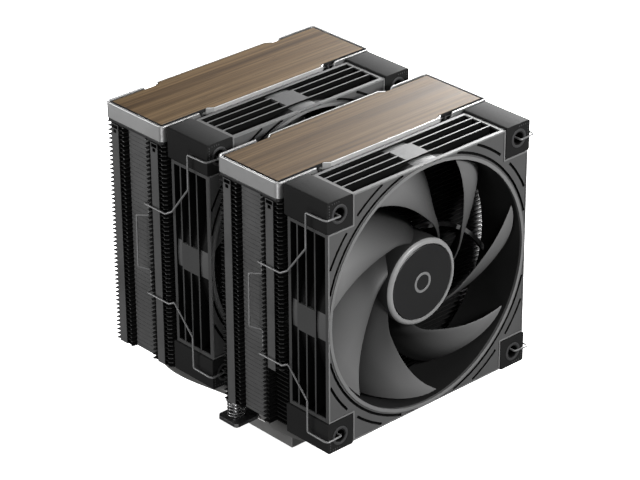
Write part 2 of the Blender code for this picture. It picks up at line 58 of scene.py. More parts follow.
# ------------------------------------------------------------------ mesh helpers
def link(name, bm, mats, body, nodes=(), smooth=None, bevel=None, segs=2, bevel_angle=40):
    """Finish a bmesh given in millimetres as an object in metres that rides on a body and stands for CAD nodes."""
    for v in bm.verts:
        v.co *= 0.001
    me = bpy.data.meshes.new(name)
    bm.to_mesh(me)
    bm.free()
    for m in (mats if isinstance(mats, (list, tuple)) else [mats]):
        me.materials.append(m)
    ob = bpy.data.objects.new(name, me)
    bpy.context.scene.collection.objects.link(ob)
    if bevel:
        b = ob.modifiers.new("edge", "BEVEL")
        b.width = bevel * 0.001
        b.segments = segs
        b.limit_method = "ANGLE"
        b.angle_limit = math.radians(bevel_angle)
        b.use_clamp_overlap = True
        b.harden_normals = False
    if smooth is not None:
        me.shade_smooth()
        me.set_sharp_from_angle(angle=math.radians(smooth))
    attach(ob, body)
    if nodes:
        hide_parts(*nodes)
    return ob

def inside(poly, x, y):
    c = False
    j = len(poly) - 1
    for i in range(len(poly)):
        xi, yi = poly[i]
        xj, yj = poly[j]
        if (yi > y) != (yj > y) and x < (xj - xi) * (y - yi) / (yj - yi) + xi:
            c = not c
        j = i
    return c

def slabs(loops, levels, rules, merge=True, mat_of=None):
    """Stack of slabs over one shared plan: rules[i](keys) is true where there is material between levels[i] and levels[i+1]."""
    pts, edges = [], []
    for p in loops.values():
        n0 = len(pts)
        pts += [Vector(q) for q in p]
        edges += [(n0 + i, n0 + (i + 1) % len(p)) for i in range(len(p))]
    vs, _, tris, *_ = geometry.delaunay_2d_cdt(pts, edges, [], 0, 1e-4)
    box = {k: (min(q[0] for q in p), min(q[1] for q in p), max(q[0] for q in p), max(q[1] for q in p)) for k, p in loops.items()}
    keys, T = [], []
    for t in tris:
        a, b, c = t
        area = (vs[b][0]-vs[a][0])*(vs[c][1]-vs[a][1])-(vs[b][1]-vs[a][1])*(vs[c][0]-vs[a][0])
        if abs(area) < 1e-9:
            continue
        if area < 0:
            a, b, c = a, c, b
        T.append((a, b, c))
        cx = (vs[a][0]+vs[b][0]+vs[c][0]) / 3
        cy = (vs[a][1]+vs[b][1]+vs[c][1]) / 3
        keys.append({k for k, p in loops.items() if box[k][0] <= cx <= box[k][2] and box[k][1] <= cy <= box[k][3] and inside(p, cx, cy)})
    n = len(levels) - 1
    cache = {}
    on = []
    for i in range(n):
        if rules[i] not in cache:
            cache[rules[i]] = [bool(rules[i](keys[t])) for t in range(len(T))]
        on.append(cache[rules[i]])
    side = {}
    for t, tri in enumerate(T):
        for a, b in ((0, 1), (1, 2), (2, 0)):
            side.setdefault(frozenset((tri[a], tri[b])), []).append(t)
    bm = bmesh.new()
    V = {}
    def v(i, l):
        q = V.get((i, l))
        if q is None:
            q = V[(i, l)] = bm.verts.new((vs[i][0], vs[i][1], levels[l]))
        return q
    for l in range(n):
        onl = on[l]
        dn = on[l-1] if l else None
        up = on[l+1] if l < n-1 else None
        for t, (a, b, c) in enumerate(T):
            if not onl[t]:
                continue
            if dn is None or not dn[t]:
                bm.faces.new((v(c, l), v(b, l), v(a, l)))
            if up is None or not up[t]:
                bm.faces.new((v(a, l+1), v(b, l+1), v(c, l+1)))
            for p, q in ((a, b), (b, c), (c, a)):
                o = side[frozenset((p, q))]
                w = o[0] if o[0] != t else (o[1] if len(o) > 1 else -1)
                if w < 0 or not onl[w]:
                    bm.faces.new((v(p, l), v(q, l), v(q, l+1), v(p, l+1)))
    if merge:
        bmesh.ops.dissolve_limit(bm, angle_limit=0.003, use_dissolve_boundaries=False, verts=bm.verts[:], edges=bm.edges[:])
    return bm

def along_y(bm, y0, z0):
    for v in bm.verts:
        x, z, d = v.co
        v.co = Vector((x, y0 + d, z0 + z))
    bmesh.ops.reverse_faces(bm, faces=bm.faces)

def circle(r, n, cx=0.0, cy=0.0, start=0.0):
    return [(cx + r*math.cos(start + 2*math.pi*i/n), cy + r*math.sin(start + 2*math.pi*i/n)) for i in range(n)]

def rect(x0, y0, x1, y1):
    x0, x1 = min(x0, x1), max(x0, x1)
    y0, y1 = min(y0, y1), max(y0, y1)
    return [(x0, y0), (x1, y0), (x1, y1), (x0, y1)]

def rounded_rect(x0, y0, x1, y1, r, n=5):
    p = []
    for cx, cy, a0 in ((x1-r, y0+r, -90), (x1-r, y1-r, 0), (x0+r, y1-r, 90), (x0+r, y0+r, 180)):
        for i in range(n+1):
            a = math.radians(a0+90*i/n)
            p.append((cx+r*math.cos(a), cy+r*math.sin(a)))
    return p

def arc_band(r0, r1, a0, a1, n):
    A = [math.radians(a0+(a1-a0)*i/n) for i in range(n+1)]
    return [(r0*math.cos(a), r0*math.sin(a)) for a in A] + [(r1*math.cos(a), r1*math.sin(a)) for a in reversed(A)]

def turned(profile, n, axis="Z", at=(0, 0, 0)):
    bm = bmesh.new()
    rings = []
    for r, h in profile:
        if r < 1e-6:
            rings.append([bm.verts.new((0, 0, h))])
        else:
            rings.append([bm.verts.new((r*math.cos(2*math.pi*i/n), r*math.sin(2*math.pi*i/n), h)) for i in range(n)])
    m = len(rings)
    for k in range(m):
        A, B = rings[k], rings[(k+1) % m]
        if len(A) == 1 and len(B) == 1:
            continue
        for i in range(n):
            j = (i+1) % n
            if len(A) == 1:
                bm.faces.new((A[0], B[i], B[j]))
            elif len(B) == 1:
                bm.faces.new((A[i], B[0], A[j]))
            else:
                bm.faces.new((A[i], B[i], B[j], A[j]))
    for v in bm.verts:
        x, y, z = v.co
        if axis == "Y":
            x, y, z = x, z, -y
        v.co = Vector((x+at[0], y+at[1], z+at[2]))
    bmesh.ops.recalc_face_normals(bm, faces=bm.faces)
    return bm

def smooth_line(pts, step):
    """Points at even steps on a Catmull-Rom curve through pts."""
    P = [Vector(p) for p in pts]
    P = [P[0]*2-P[1]] + P + [P[-1]*2-P[-2]]
    out = []
    for i in range(1, len(P)-2):
        a, b, c, d = P[i-1], P[i], P[i+1], P[i+2]
        n = max(2, int((c-b).length/step))
        for k in range(n):
            t = k/n
            out.append(0.5*((2*b) + (c-a)*t + (2*a-5*b+4*c-d)*t*t + (3*b-3*c+d-a)*t**3))
    out.append(P[-2])
    return out

def rounded_path(pts, rad, seg=5):
    P = [Vector(p) for p in pts]
    out = [P[0]]
    for i in range(1, len(P)-1):
        a, b, c = P[i-1], P[i], P[i+1]
        u, w = (a-b), (c-b)
        lu, lw = u.length, w.length
        u.normalize()
        w.normalize()
        ang = math.acos(max(-1, min(1, u.dot(w))))
        if ang > math.radians(177):
            out.append(b)
            continue
        d = min(rad/math.tan(ang/2), 0.48*lu, 0.48*lw)
        s, e = b+u*d, b+w*d
        for k in range(seg+1):
            t = k/seg
            out.append(s*(1-t)**2 + b*2*t*(1-t) + e*t*t)
    out.append(P[-1])
    res = [out[0]]
    for p in out[1:]:
        if (p-res[-1]).length > 1e-3:
            res.append(p)
    return res

def swept(points, r, n, round_ends=False):
    P = [Vector(p) for p in points]
    bm = bmesh.new()
    T = [(P[min(i+1, len(P)-1)]-P[max(i-1, 0)]).normalized() for i in range(len(P))]
    ref = Vector((0, 0, 1)) if abs(T[0].z) < 0.9 else Vector((1, 0, 0))
    N = (ref - T[0]*ref.dot(T[0])).normalized()
    rings = []
    for i, p in enumerate(P):
        if i:
            N = (N - T[i]*N.dot(T[i])).normalized()
        B = T[i].cross(N)
        rings.append([bm.verts.new(p+(N*math.cos(2*math.pi*j/n)+B*math.sin(2*math.pi*j/n))*r) for j in range(n)])
    for a, b in zip(rings, rings[1:]):
        for j in range(n):
            bm.faces.new((a[j], a[(j+1) % n], b[(j+1) % n], b[j]))
    for ring, t, p, s in ((rings[0], T[0], P[0], -1), (rings[-1], T[-1], P[-1], 1)):
        cur = ring
        if round_ends:
            for q in (0.5, 0.85):
                nxt = [bm.verts.new(p + (v.co-p)*math.sqrt(1-q*q) + t*s*r*q) for v in ring]
                for j in range(n):
                    f = (cur[j], cur[(j+1) % n], nxt[(j+1) % n], nxt[j])
                    bm.faces.new(f)
                cur = nxt
        bm.faces.new(cur)
    bmesh.ops.recalc_face_normals(bm, faces=bm.faces)
    return bm

def merge_into(dst, src):
    me = bpy.data.meshes.new("tmp")
    src.to_mesh(me)
    src.free()
    dst.from_mesh(me)
    bpy.data.meshes.remove(me)
    return dst

# ------------------------------------------------------------------ materials
class Mat:
    """Small helper round one Principled material with object-space coordinates."""
    def __init__(self, name, rgb, rough, metal=0.0, **sockets):
        self.m = bpy.data.materials.new(name)
        self.m.use_nodes = True
        self.t = self.m.node_tree
        self.b = self.t.nodes["Principled BSDF"]
        self.b.inputs["Base Color"].default_value = (*rgb, 1)
        self.b.inputs["Roughness"].default_value = rough
        self.b.inputs["Metallic"].default_value = metal
        for k, v in sockets.items():
            self.b.inputs[k.replace("_", " ")].default_value = v
        self.m.diffuse_color = (*rgb, 1)
        self.co = self.t.nodes.new("ShaderNodeTexCoord").outputs["Object"]

    def node(self, kind, inputs=None, **attrs):
        n = self.t.nodes.new(kind)
        for k, v in attrs.items():
            setattr(n, k, v)
        for k, v in (inputs or {}).items():
            s = n.inputs[k]
            if hasattr(v, "links") or isinstance(v, bpy.types.NodeSocket):
                self.t.links.new(v, s)
            else:
                s.default_value = v
        return n

    def mapping(self, scale, rot=(0, 0, 0)):
        return self.node("ShaderNodeMapping", {"Vector": self.co, "Scale": scale, "Rotation": rot}).outputs[0]

    def noise(self, scale, detail=4, rough=0.5, vec=None, dist=0.0):
        return self.node("ShaderNodeTexNoise", {"Vector": vec or self.co, "Scale": scale, "Detail": detail, "Roughness": rough, "Distortion": dist}).outputs["Fac"]

    def ramp(self, fac, stops):
        n = self.node("ShaderNodeValToRGB", {"Fac": fac})
        r = n.color_ramp
        while len(r.elements) > len(stops):
            r.elements.remove(r.elements[-1])
        for i, (p, c) in enumerate(stops):
            e = r.elements[i] if i < len(r.elements) else r.elements.new(p)
            e.position = p
            e.color = (*c, 1) if len(c) == 3 else c
        return n.outputs["Color"]

    def remap(self, fac, lo, hi, a=0.0, b=1.0):
        return self.node("ShaderNodeMapRange", {"Value": fac, "From Min": lo, "From Max": hi, "To Min": a, "To Max": b}).outputs[0]

    def mix(self, fac, a, b, blend="MIX"):
        n = self.t.nodes.new("ShaderNodeMix")
        n.data_type = "RGBA"
        n.blend_type = blend
        for s, v in ((n.inputs[0], fac), (n.inputs[6], a), (n.inputs[7], b)):
            if isinstance(v, bpy.types.NodeSocket):
                self.t.links.new(v, s)
            elif isinstance(v, (tuple, list)):
                s.default_value = (*v, 1) if len(v) == 3 else v
            else:
                s.default_value = v
        return n.outputs[2]

    def math(self, op, a, b=0.0, clamp=False):
        n = self.t.nodes.new("ShaderNodeMath")
        n.operation = op
        n.use_clamp = clamp
        for s, v in ((n.inputs[0], a), (n.inputs[1], b)):
            if isinstance(v, bpy.types.NodeSocket):
                self.t.links.new(v, s)
            else:
                s.default_value = v
        return n.outputs[0]

    def put(self, socket, value):
        self.t.links.new(value, self.b.inputs[socket])
        return self

    def bump(self, height, strength, distance):
        n = self.node("ShaderNodeBump", {"Height": height, "Strength": strength, "Distance": distance})
        self.t.links.new(n.outputs[0], self.b.inputs["Normal"])
        return self


def speckled(name, rgb, rough, grain=4000.0, bump=0.15, metal=0.0, var=0.12, rvar=0.08, **sockets):
    """Moulded or coated surface: fine grain in bump, soft patches in colour and roughness."""
    m = Mat(name, rgb, rough, metal, **sockets)
    patch = m.noise(60.0, 3)
    lo = tuple(c*(1-var) for c in rgb)
    hi = tuple(c*(1+var) for c in rgb)
    m.put("Base Color", m.mix(m.remap(patch, 0.35, 0.65), lo, hi))
    m.put("Roughness", m.remap(m.noise(900.0, 3), 0.3, 0.7, rough-rvar, rough+rvar))
    m.bump(m.noise(grain, 2), bump, 0.00006)
    return m.m


def steel_mat(name, rgb, rough, vec_scale=(400, 400, 30), metal=1.0, bump=0.08):
    m = Mat(name, rgb, rough, metal)
    streak = m.noise(6.0, 5, 0.6, m.mapping(vec_scale))
    m.put("Roughness", m.remap(streak, 0.3, 0.7, rough*0.75, rough*1.3))
    m.put("Base Color", m.mix(m.remap(m.noise(90.0, 3), 0.3, 0.7), tuple(c*0.9 for c in rgb), tuple(min(1, c*1.06) for c in rgb)))
    m.bump(streak, bump, 0.00003)
    return m.m


def wood_mat(name):
    m = Mat(name, (0.2, 0.13, 0.08), 0.46, 0.0, Specular_IOR_Level=0.12)
    # grain runs along X; long soft figure, narrow streaks, then short dark pores
    warp = m.noise(9.0, 3, 0.5, m.mapping((0.6, 1.4, 1.0)))
    base = m.node("ShaderNodeVectorMath", {0: m.mapping((2.6, 150.0, 40.0)), 1: m.node("ShaderNodeCombineXYZ", {"Y": m.math("MULTIPLY", warp, 0.9)}).outputs[0]}, operation="ADD").outputs[0]
    figure = m.noise(1.0, 6, 0.60, base, 0.12)
    streak = m.noise(1.0, 4, 0.55, m.mapping((7.0, 640.0, 100.0)))
    pores = m.noise(1.0, 2, 0.6, m.mapping((55.0, 1500.0, 300.0)))
    col = m.ramp(figure, [(0.30, (0.050, 0.027, 0.010)), (0.43, (0.090, 0.053, 0.022)), (0.56, (0.128, 0.080, 0.036)), (0.72, (0.200, 0.134, 0.067))])
    lines = m.ramp(streak, [(0.36, (0.66, 0.64, 0.60)), (0.50, (0.98, 0.98, 0.98)), (0.64, (1.26, 1.27, 1.28))])
    col = m.mix(1.0, col, lines, "MULTIPLY")
    pore = m.remap(pores, 0.60, 0.70)
    col = m.mix(m.math("MULTIPLY", pore, 0.70), col, (0.036, 0.020, 0.010))
    m.put("Base Color", col)
    m.put("Roughness", m.remap(streak, 0.3, 0.7, 0.48, 0.60))
    h = m.math("SUBTRACT", m.math("MULTIPLY", streak, 0.4), pore)
    m.bump(h, 0.25, 0.00008)
    return m.m


M = {}
M["wood"] = wood_mat("dark_wood")
M["silver"] = speckled("satin_silver", (0.48, 0.48, 0.48), 0.42, 5200, 0.10, metal=0.8, var=0.03, rvar=0.04)
M["silver_edge"] = speckled("bright_edge", (0.86, 0.86, 0.85), 0.34, 5200, 0.05, metal=0.6, var=0.02, rvar=0.02)
# folded strips and groove panel: lighter copy of the coated sheet, painted highlight; fin plates: near-black copy,
# painted shade
M["fin"] = speckled("black_coated_sheet", (0.125, 0.125, 0.125), 0.40, 3000, 0.06, metal=0.35, var=0.10, rvar=0.06)
M["fin_plate"] = speckled("black_plate_painted_shade", (0.010, 0.010, 0.010), 0.45, 3000, 0.05, metal=0.0, var=0.10, rvar=0.06, Specular_IOR_Level=0.3)
# darker, duller copy of the coated sheet for the front-right fin corner: painted shade
M["fin_corner"] = speckled("corner_tab", (0.030, 0.030, 0.030), 0.70, 3000, 0.05, metal=0.0, var=0.10, rvar=0.06, Specular_IOR_Level=0.05)
M["fin_edge"] = steel_mat("plate_edge", (0.30, 0.30, 0.30), 0.34)
M["collar"] = speckled("pressed_collar", (0.72, 0.72, 0.72), 0.32, 2600, 0.03, metal=0.45, var=0.03, rvar=0.02)
M["plastic"] = speckled("black_plastic", (0.010, 0.010, 0.0105), 0.50, 3800, 0.16)
M["frame"] = speckled("fan_frame_plastic", (0.092, 0.092, 0.092), 0.50, 3600, 0.20, var=0.04, rvar=0.03, Specular_IOR_Level=0.32)
# lighter copy of the frame plastic for the raised lips: painted highlight
M["frame_lip"] = speckled("fan_frame_lip_painted_highlight", (0.190, 0.190, 0.190), 0.42, 3600, 0.12, var=0.04, rvar=0.03)
# near-black copy of the frame plastic for grooves, slot walls and ribs: painted shade
M["recess"] = speckled("frame_recess", (0.004, 0.004, 0.004), 0.60, 3600, 0.2, var=0.06, Specular_IOR_Level=0.10)
M["rotor"] = speckled("rotor_plastic", (0.088, 0.088, 0.088), 0.50, 3200, 0.06, var=0.03, rvar=0.02, Specular_IOR_Level=0.28)
# rotor plastic with painted shade: the base colour darkens towards the back of each fan and towards the hub
rotor_shade_mat = Mat("rotor_plastic_painted_shade", (0.088, 0.088, 0.088), 0.50, Specular_IOR_Level=0.28)
sep = rotor_shade_mat.node("ShaderNodeSeparateXYZ", {0: rotor_shade_mat.co})
depth = rotor_shade_mat.math("MODULO", rotor_shade_mat.math("ADD", sep.outputs[1], 0.0854), 0.0757)
radius = rotor_shade_mat.math("POWER", rotor_shade_mat.math("ADD", rotor_shade_mat.math("POWER", rotor_shade_mat.math("ABSOLUTE", sep.outputs[0]), 2.0), rotor_shade_mat.math("POWER", rotor_shade_mat.math("ABSOLUTE", rotor_shade_mat.math("SUBTRACT", sep.outputs[2], 0.09977)), 2.0)), 0.5)
painted_shade = rotor_shade_mat.math("MULTIPLY", rotor_shade_mat.remap(depth, 0.006, 0.0175, 1.0, 0.08), rotor_shade_mat.remap(radius, 0.021, 0.050, 0.16, 1.0))
rotor_shade_mat.put("Base Color", rotor_shade_mat.mix(painted_shade, (0.006, 0.006, 0.006), (0.150, 0.150, 0.150)))
rotor_shade_mat.put("Roughness", rotor_shade_mat.remap(rotor_shade_mat.noise(900.0, 3), 0.3, 0.7, 0.48, 0.52))
rotor_shade_mat.bump(rotor_shade_mat.noise(3200.0, 2), 0.06, 0.00006)
M["rotor"] = rotor_shade_mat.m
# darker copy of the frame plastic for the outer sides: painted shade
M["frame_side"] = speckled("fan_frame_sides", (0.058, 0.058, 0.058), 0.50, 3600, 0.20, var=0.04, rvar=0.03, Specular_IOR_Level=0.32)
# darker copy of the frame plastic for the plate over the top vents: painted shade
M["frame_top"] = speckled("top_plate_painted_shade", (0.052, 0.052, 0.053), 0.50, 3600, 0.20, var=0.04, rvar=0.03, Specular_IOR_Level=0.32)
# lighter copy of the rotor plastic for the hub's front bevel: painted highlight
M["hub_ring"] = speckled("hub_bevel", (0.27, 0.27, 0.27), 0.40, 3200, 0.06, var=0.03, rvar=0.02)
# darker copy of the frame plastic for the bore wall: painted shade
M["bore"] = speckled("duct_bore", (0.012, 0.012, 0.012), 0.50, 3600, 0.1, var=0.04, rvar=0.02, Specular_IOR_Level=0.25)
M["hub"] = speckled("hub_plastic", (0.019, 0.019, 0.0193), 0.36, 3600, 0.10, var=0.03, rvar=0.03)
M["rubber"] = speckled("pad_rubber", (0.017, 0.017, 0.017), 0.70, 2600, 0.24, var=0.04, rvar=0.02, Specular_IOR_Level=0.08)
M["pad_hole"] = speckled("pad_hole_shade", (0.003, 0.003, 0.003), 0.7, 2600, 0.1, Specular_IOR_Level=0.05)
M["nickel"] = speckled("nickel_plate", (0.52, 0.515, 0.505), 0.30, 2600, 0.04, metal=0.72, var=0.03, rvar=0.02)
M["plate"] = steel_mat("machined_nickel", (0.45, 0.445, 0.44), 0.40, (60, 700, 700), metal=0.85, bump=0.25)
M["steel"] = steel_mat("bright_steel", (0.58, 0.58, 0.59), 0.24)
M["coil"] = speckled("dark_spring_steel", (0.32, 0.32, 0.322), 0.22, 2600, 0.05, metal=0.8, var=0.04, rvar=0.03)
M["wire"] = speckled("spring_wire", (0.24, 0.24, 0.242), 0.42, 2600, 0.05, metal=0.35, var=0.04, rvar=0.03)
M["black_steel"] = speckled("black_steel", (0.060, 0.060, 0.061), 0.34, 3000, 0.10, metal=0.5)
M["brass"] = steel_mat("brass", (0.60, 0.46, 0.22), 0.3)
M["copper"] = steel_mat("winding", (0.50, 0.24, 0.12), 0.35)
M["emblem"] = speckled("emblem_inlay", (0.42, 0.42, 0.42), 0.40, 3600, 0.05, metal=0.6, var=0.03, rvar=0.02)

# ------------------------------------------------------------------ fin stacks
PIPES = {1: ((12.0, 4.6), (32.0, -6.5), (52.3, 14.0)), -1: ((12.0, 4.6), (32.0, -6.5), (52.3, -3.35))}

def fin_stack(name, yc, side, cut_back, node):
    gx = FIN_X-2.6
    yf, yr = yc-20.3, yc+18.9
    gf, gr = yc-7.4, yc+7.3
    # stepped edge: teeth at the corners and beside the groove, relieved between them and the folded strips
    e, w = FIN_X-0.75, FIN_X-0.65
    right = [(FIN_X-1.4, yf), (FIN_X-0.1, yf+1.2), (FIN_X-0.1, yf+1.9), (e, yf+2.2), (e, yc-16.25), (FIN_X, yc-15.95),
             (FIN_X, yc-11.15), (w, yc-10.85), (w, yc-8.8), (FIN_X, yc-8.4), (FIN_X, gf), (gx, gf+0.45), (gx, gr-0.45),
             (FIN_X, gr), (FIN_X, yc+8.3), (w, yc+8.7), (w, yc+10.85), (FIN_X, yc+11.15), (FIN_X, yc+15.95), (e, yc+16.25),
             (e, yr-1.0), (FIN_X-0.4, yr-0.7), (FIN_X-0.4, yr)]
    loops = {"plate": right+[(-x, y) for x, y in reversed(right)]}
    st = 0.42
    for sx in (1, -1):
        for k, (a, b) in enumerate(((yc-15.95, yc-11.15), (yc+11.15, yc+15.95))):
            loops["strip%d%d" % (k, sx)] = rect(sx*(FIN_X-st), a, sx*FIN_X, b)
            m = (a+b)/2
            loops["vee%d%d" % (k, sx)] = rect(sx*(FIN_X-st), m-1.0, sx*FIN_X, m+1.0)
            loops["vew%d%d" % (k, sx)] = rect(sx*(FIN_X-st), m-2.0, sx*FIN_X, m+2.0)
        loops["panel%d" % sx] = rect(sx*(gx-st), gf+0.45, sx*gx, gr-0.45)
        loops["pinset%d" % sx] = rect(sx*(gx-st), gf+0.45, sx*(gx-0.12), gr-0.45)
        for k, (px, py) in enumerate(PIPES[sx]):
            loops["hole%d%d" % (k, sx)] = circle(3.15, 20, sx*px, yc+side*py)
            loops["collar%d%d" % (k, sx)] = circle(3.75, 20, sx*px, yc+side*py)
    if cut_back:
        loops["cut"] = [(-FIN_X-1, yf-1), (FIN_X+1, yf-1), (FIN_X+1, yc-11.15), (57.4, yc-11.15), (57.4, yc-18.7),
                        (-57.4, yc-18.7), (-57.4, yc-11.15), (-FIN_X-1, yc-11.15)]
    def has(k, w):
        return any(s.startswith(w) for s in k)
    def plate(low):
        return lambda k: "plate" in k and not has(k, "hole") and not (low and "cut" in k)
    def tabs(low, vee=0, wall="pinset"):
        def f(k):
            if low and "cut" in k:
                return False
            if has(k, "strip"):
                return not (vee == 1 and has(k, "vee")) and not (vee == 2 and has(k, "vew"))
            return has(k, wall)
        return f
    def collar(low, vee=0):
        t = tabs(low, vee, "panel")
        return lambda k: t(k) or (has(k, "collar") and not has(k, "hole") and not (low and "cut" in k and not has(k, "strip")))
    def nothing(k):
        return False
    fn = {}
    for low in (0, 1):
        fn["plate", low] = plate(low)
        for v in (0, 1, 2):
            fn["tabs", low, v] = tabs(low, v)
            fn["collar", low, v] = collar(low, v)
    fn["none"] = nothing
    levels, rules = [FIN_Z0], []
    for i in range(FINS):
        z = FIN_Z0+FIN_PITCH*i
        low = int(cut_back and z < 69.2)
        rules.append(fn["plate", low])
        levels.append(z+FIN_T)
        if i < FINS-1:
            nl = int(cut_back and z+FIN_PITCH < 69.2)
            vee = 1 if i == FINS-3 else (2 if i == FINS-2 else 0)
            # collar and lower tab part, then the tab alone up to the next fin
            zc = z+FIN_T+1.05
            rules.append(fn["collar", nl, vee])
            levels.append(zc)
            rules.append(fn["tabs", nl, vee])
            levels.append(z+FIN_PITCH)
    bm = slabs(loops, levels, rules, merge=False)
    # collars and bare edges differ in finish; the folded strips and the groove panel get a lighter copy of the coated
    # sheet (painted highlight) and the plates between them a near-black copy (painted shade)
    bm.normal_update()
    for f in bm.faces:
        c = f.calc_center_median()
        n = f.normal
        ax, ay = abs(c.x), abs(c.y-yc)
        f.material_index = 2
        if abs(n.x) > 0.9 and ((ax > FIN_X-0.05 and 11.1 < ay < 16.0) or abs(ax-gx) < 0.13):
            f.material_index = 0
        # front-right corner: darker, duller copy of the coated sheet, painted shade
        elif c.x > 0 and c.y < yc-8.0 and ax > FIN_X-6.0:
            f.material_index = 4
        elif ax > FIN_X-0.3 and abs(n.z) < 0.5:
            f.material_index = 3
        else:
            for px, py in PIPES[1 if c.x > 0 else -1]:
                if math.hypot(ax-px, c.y-(yc+side*py)) < 3.78 and abs((c.z-FIN_Z0) % FIN_PITCH-FIN_T) > 0.02:
                    f.material_index = 1
    return link(name, bm, [M["fin"], M["collar"], M["fin_plate"], M["fin_edge"], M["fin_corner"]], "root", [node])

fin_stack("front_fins", TOWER_Y, -1, True, "front_fin_stack")
fin_stack("rear_fins", TOWER_Y+PITCH, 1, False, "rear_fin_stack")

# ------------------------------------------------------------------ heat pipes
def heat_pipe(n, sx, k):
    bx = sx*(3.45, 10.35, 17.25)[k]
    tx, ty = PIPES[sx][k]
    tx *= sx
    yt = abs(TOWER_Y)+ty
    ys = 23.0+1.3*(2-k)
    half = [(bx, 0, 6.2), (bx, 10.0, 6.2), (bx, 20.0, 6.2), (bx, ys, 6.2)]
    p0, p1 = Vector((bx, ys, 6.2)), Vector((tx, yt, 39.0))
    d = (p1-p0).length
    pull0, pull1 = (0.40, 1.00) if (sx, k) == (1, 2) else (0.80, 0.70)
    for i in range(1, 24):
        t = i/24
        p = p0*(2*t**3-3*t**2+1) + Vector((0, 1, 0))*(t**3-2*t**2+t)*d*pull0 + p1*(-2*t**3+3*t**2) + Vector((0, 0, 1))*(t**3-t**2)*d*pull1
        half.append(tuple(p))
    half += [(tx, yt, 39.0), (tx, yt, 60.0), (tx, yt, 100.0), (tx, yt, 146.4)]
    full = [(x, -y, z) for x, y, z in reversed(half[1:])] + half
    link("pipe_%d" % n, swept(full, 2.98, 28, True), M["nickel"], "root", ["heat_pipe_%d" % n], smooth=40)

n = 1
for k in range(3):
    for sx in (-1, 1):
        heat_pipe(n, sx, k)
        n += 1

# ------------------------------------------------------------------ covers
def outline4(quarter, yc):
    up = quarter + [(-x, y) for x, y in reversed(quarter)]
    return [(x, y+yc) for x, y in up + [(x, -y) for x, y in reversed(up)]]

def cover(pre, yc):
    # black base plate, carrier and notch knobs
    loops = {"base": [(x, y+yc) for x, y in rounded_rect(-62.0, -19.2, 62.0, 19.2, 1.8)],
             "block": [(x, y+yc) for x, y in rect(-60.2, -16.6, 60.2, 16.6)]}
    bm = slabs(loops, [150.85, 152.1, 156.6], [lambda k: "base" in k, lambda k: "block" in k])
    link(pre+"_top_base", bm, M["plastic"], "root", [pre+"_cover_base"], bevel=0.2)
    # small black knobs that show in the notches
    bm = bmesh.new()
    for sx in (1, -1):
        for sy in (1, -1):
            merge_into(bm, turned([(0, 152.4), (0.7, 152.4), (0.7, 158.2), (0.45, 158.6), (0, 158.6)], 16, "Z", (sx*37.6, yc+sy*17.55, 0)))
    link(pre+"_top_knobs", bm, M["plastic"], "root", smooth=40)
    # bright tray: plate with lips round the middle part
    a, b, lip = 32.3, 35.2, 0.5
    loops = {"out": outline4([(60.2, 16.2), (b+0.8, 16.2), (b, 17.3), (a, 19.55)], yc),
             "in": outline4([(61.0, 17.3), (b-0.85, 17.3), (a-0.2, 19.55-lip)], yc)}
    bm = slabs(loops, [156.9, 157.7, TOP_Z-0.02], [lambda k: "out" in k, lambda k: "out" in k and "in" not in k])
    link(pre+"_top_tray", bm, M["silver_edge"], "root", [pre+"_cover_tray"], bevel=0.08)
    # wood plate
    loops = {"w": outline4([(60.3, 17.0), (b-1.3, 17.0), (a-0.5, 19.55-lip-0.12)], yc)}
    bm = slabs(loops, [158.0, TOP_Z-0.08], [lambda k: "w" in k])
    bm.normal_update()
    for f in bm.faces:
        if abs(f.normal.z) < 0.5:
            f.material_index = 1                      # stained edge
    link(pre+"_top_wood", bm, [M["wood"], M["plastic"]], "root", [pre+"_cover_wood"], bevel=0.18)
    # end rims
    for sx, side in ((-1, "left"), (1, "right")):
        R, xe, X, Y, w = 2.4, 37.2, 62.4, 19.55, 1.0
        def u(xo, yo, r):
            p = [(xe, -yo)]
            for cy, a0 in ((-yo+r, -90), (yo-r, 0)):
                for i in range(9):
                    q = math.radians(a0+90*i/8)
                    p.append((xo-r+r*math.cos(q), cy+r*math.sin(q)))
            p.append((xe, yo))
            return p
        loop = u(X, Y, R) + list(reversed(u(X-w, Y-w, R-w)))
        bm = slabs({"r": [(sx*x, y+yc) for x, y in loop]}, [152.4, TOP_Z], [lambda k: "r" in k])
        for v in bm.verts:
            if abs(v.co.x) < xe+0.1 and v.co.z > 153:
                v.co.x = sx*40.6
        link("%s_top_rim_%s" % (pre, side), bm, M["silver"], "root", ["%s_cover_rim_%s" % (pre, side)], bevel=0.28, bevel_angle=50)

cover("front", TOWER_Y)
cover("rear", TOWER_Y+PITCH)

# ------------------------------------------------------------------ fans
LE_R = (19.8, 22.5, 25.0, 30.0, 36.0, 43.0, 50.0, 56.3)
LE_A = (-71.5, -62.0, -54.0, -38.5, -26.5, -16.3, -7.5, 0.0)

def lead(r):
    """Leading edge angle at radius r, smooth through the samples."""
    n = len(LE_R)
    i = min(max(bisect.bisect(LE_R, r)-1, 0), n-2)
    def slope(j):
        if j == 0:
            return (LE_A[1]-LE_A[0])/(LE_R[1]-LE_R[0])
        if j == n-1:
            return (LE_A[-1]-LE_A[-2])/(LE_R[-1]-LE_R[-2])
        return (LE_A[j+1]-LE_A[j-1])/(LE_R[j+1]-LE_R[j-1])
    h = LE_R[i+1]-LE_R[i]
    t = (r-LE_R[i])/h
    return LE_A[i]*(2*t**3-3*t**2+1) + slope(i)*h*(t**3-2*t**2+t) + LE_A[i+1]*(-2*t**3+3*t**2) + slope(i+1)*h*(t**3-t**2)

